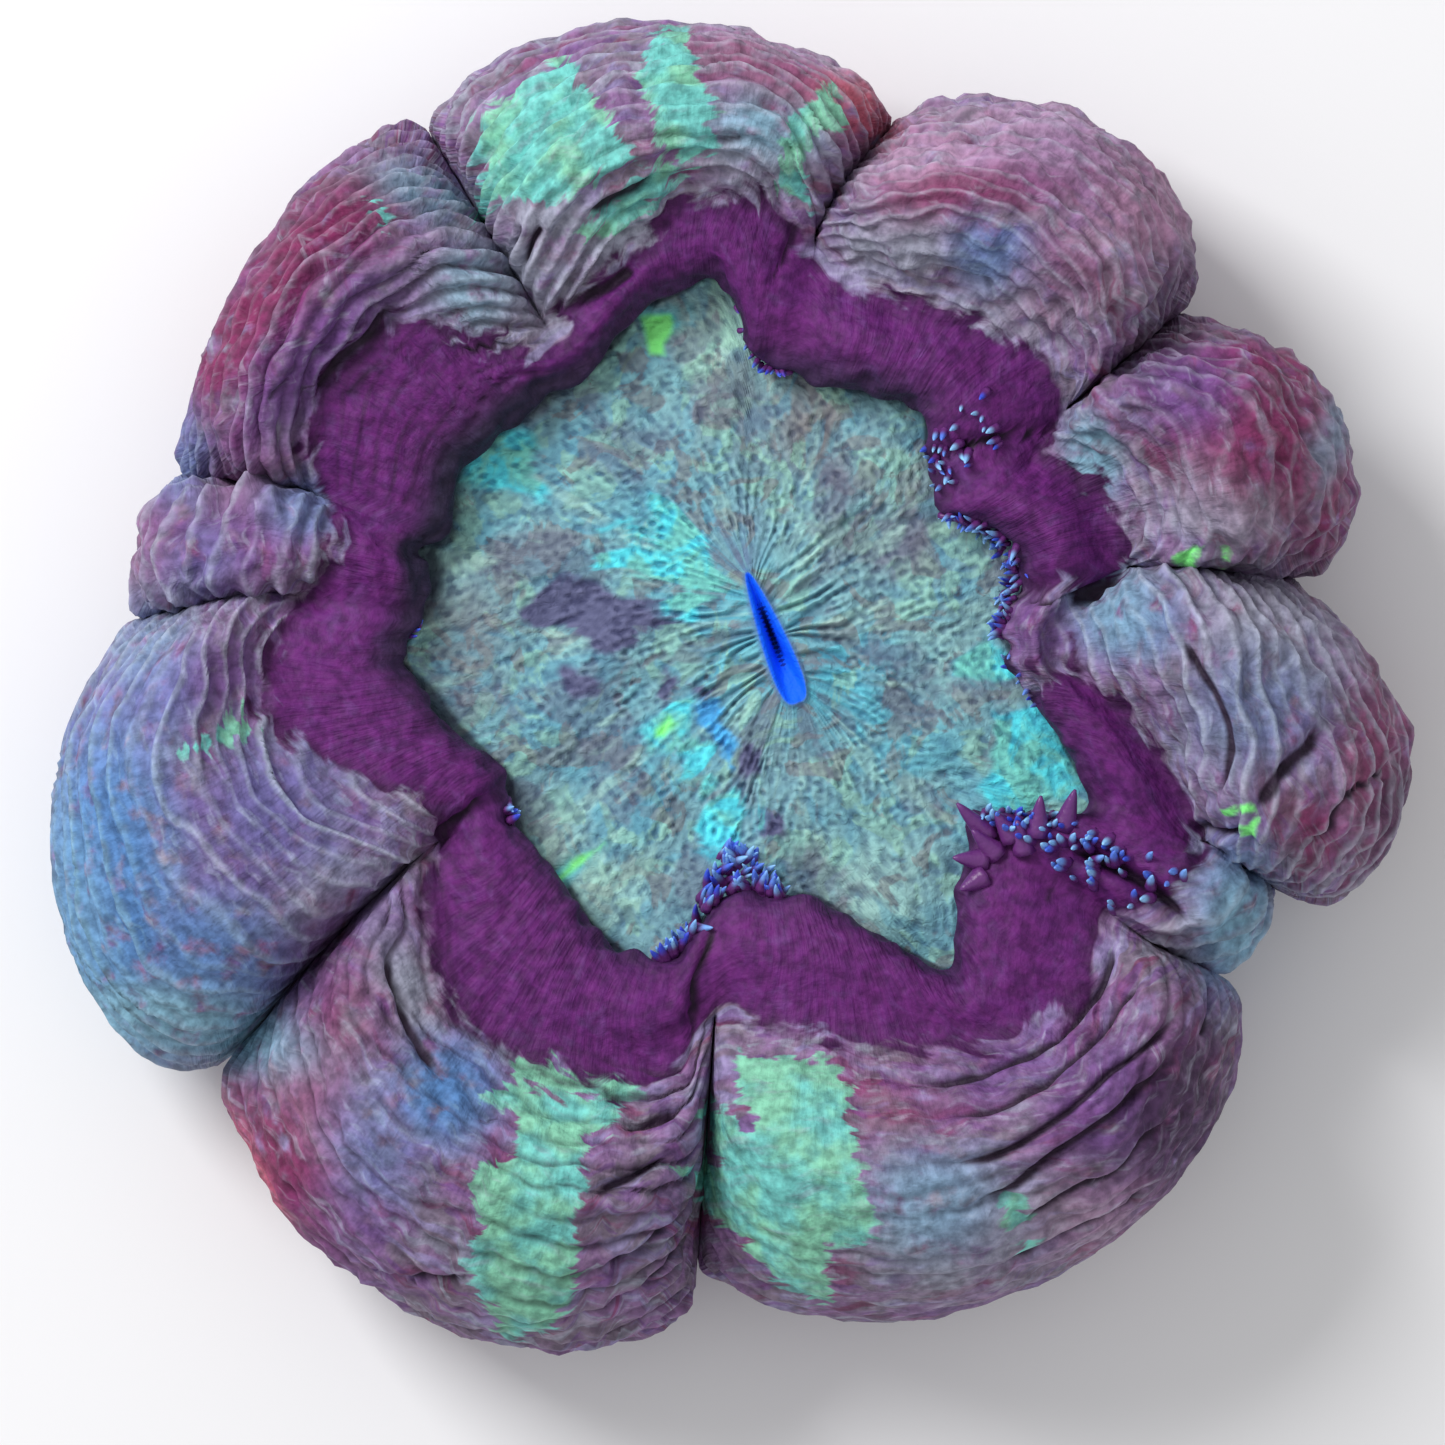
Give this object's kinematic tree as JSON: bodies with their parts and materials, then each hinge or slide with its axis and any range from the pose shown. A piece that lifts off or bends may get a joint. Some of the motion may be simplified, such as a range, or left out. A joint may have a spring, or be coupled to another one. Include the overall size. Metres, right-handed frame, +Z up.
{
  "type": "solitary fleshy coral polyp",
  "caption": "Round fleshy coral polyp with a sunken oral disc and slit mouth, a rolled lip with tentacle clusters, and a mantle of puffed ridged lobes, resting on a flat cut base.",
  "frame": {"origin": "on the flat base, straight under the middle of the oral disc", "axes": "+Z up, out of the oral disc; +X to the right and +Y to the top of the view from above"},
  "size_m": [0.1226, 0.1197, 0.0335],
  "materials": {
    "flesh": "soft wet flesh, matte to satin, mottled"
  },
  "bodies": {
    "root": {"coral_polyp": "flesh"}
  },
  "joints": []
}
